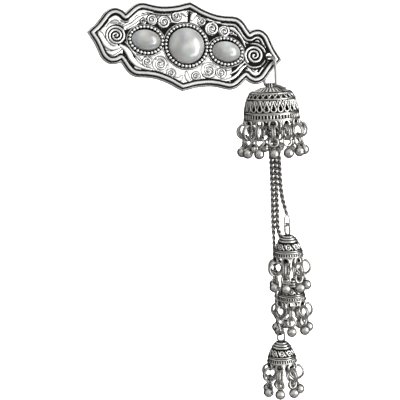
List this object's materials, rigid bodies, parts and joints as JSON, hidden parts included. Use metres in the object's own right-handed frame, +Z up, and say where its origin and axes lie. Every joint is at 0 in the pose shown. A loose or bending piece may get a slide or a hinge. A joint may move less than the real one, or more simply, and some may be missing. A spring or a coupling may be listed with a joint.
{
  "type": "tassel hair clip",
  "caption": "Ornate oxidised silver barrette with half-pearls and a long tassel of bell caps, fine chains and ball drops hanging from one end.",
  "frame": {"origin": "the middle of the hair gap between the clip's bar and its bow, behind the middle of the plate", "axes": "+Z up along the hanging tassel, +X to the wearer's side that the tassel hangs from, the plate faces -Y"},
  "size_m": [0.0906, 0.0299, 0.1691],
  "materials": {
    "silver": "antique silver plate, polished on the high parts and oxidised black in the recesses",
    "chain": "antique silver plated curb chain",
    "clip_steel": "plain spring steel",
    "pearl": "pearl lustre, cool grey white"
  },
  "bodies": {
    "clip": {"plate": "silver", "pearl_left": "pearl", "pearl_centre": "pearl", "pearl_right": "pearl", "back_clip": "clip_steel"},
    "hanger": {"hanger": "silver"},
    "tassel": {"bell": "silver", "bell_jump_rings": "silver", "bell_drop_01": "silver", "bell_drop_02": "silver", "bell_drop_03": "silver", "bell_drop_04": "silver", "bell_drop_05": "silver", "bell_drop_06": "silver", "bell_drop_07": "silver", "bell_drop_08": "silver", "bell_drop_09": "silver", "bell_drop_10": "silver", "bell_drop_11": "silver", "bell_drop_12": "silver", "bell_drop_13": "silver", "chain_short": "chain", "chain_middle": "chain", "chain_long": "chain", "link_1": "silver", "link_2": "silver", "link_3": "silver", "small_bell_1": "silver", "small_bell_2": "silver", "small_bell_3": "silver", "small_rings_1": "silver", "small_rings_2": "silver", "small_rings_3": "silver", "small_drop_1_1": "silver", "small_drop_1_2": "silver", "small_drop_1_3": "silver", "small_drop_1_4": "silver", "small_drop_1_5": "silver", "small_drop_1_6": "silver", "small_drop_1_7": "silver", "small_drop_2_1": "silver", "small_drop_2_2": "silver", "small_drop_2_3": "silver", "small_drop_2_4": "silver", "small_drop_2_5": "silver", "small_drop_2_6": "silver", "small_drop_2_7": "silver", "small_drop_3_1": "silver", "small_drop_3_2": "silver", "small_drop_3_3": "silver", "small_drop_3_4": "silver", "small_drop_3_5": "silver", "small_drop_3_6": "silver", "small_drop_3_7": "silver"}
  },
  "joints": [
    {"name": "ring_swing", "type": "hinge", "parent": "clip", "child": "hanger", "pos_m": [0.03467, -0.00554, -0.00459], "axis": [-0.0481, 0.9681, -0.2457], "range_deg": [-80, 5]},
    {"name": "bell_swing", "type": "hinge", "parent": "hanger", "child": "tassel", "pos_m": [0.03478, -0.00633, -0.01644], "axis": [0.5736, -0.8191, 0], "range_deg": [-12, 45]}
  ]
}
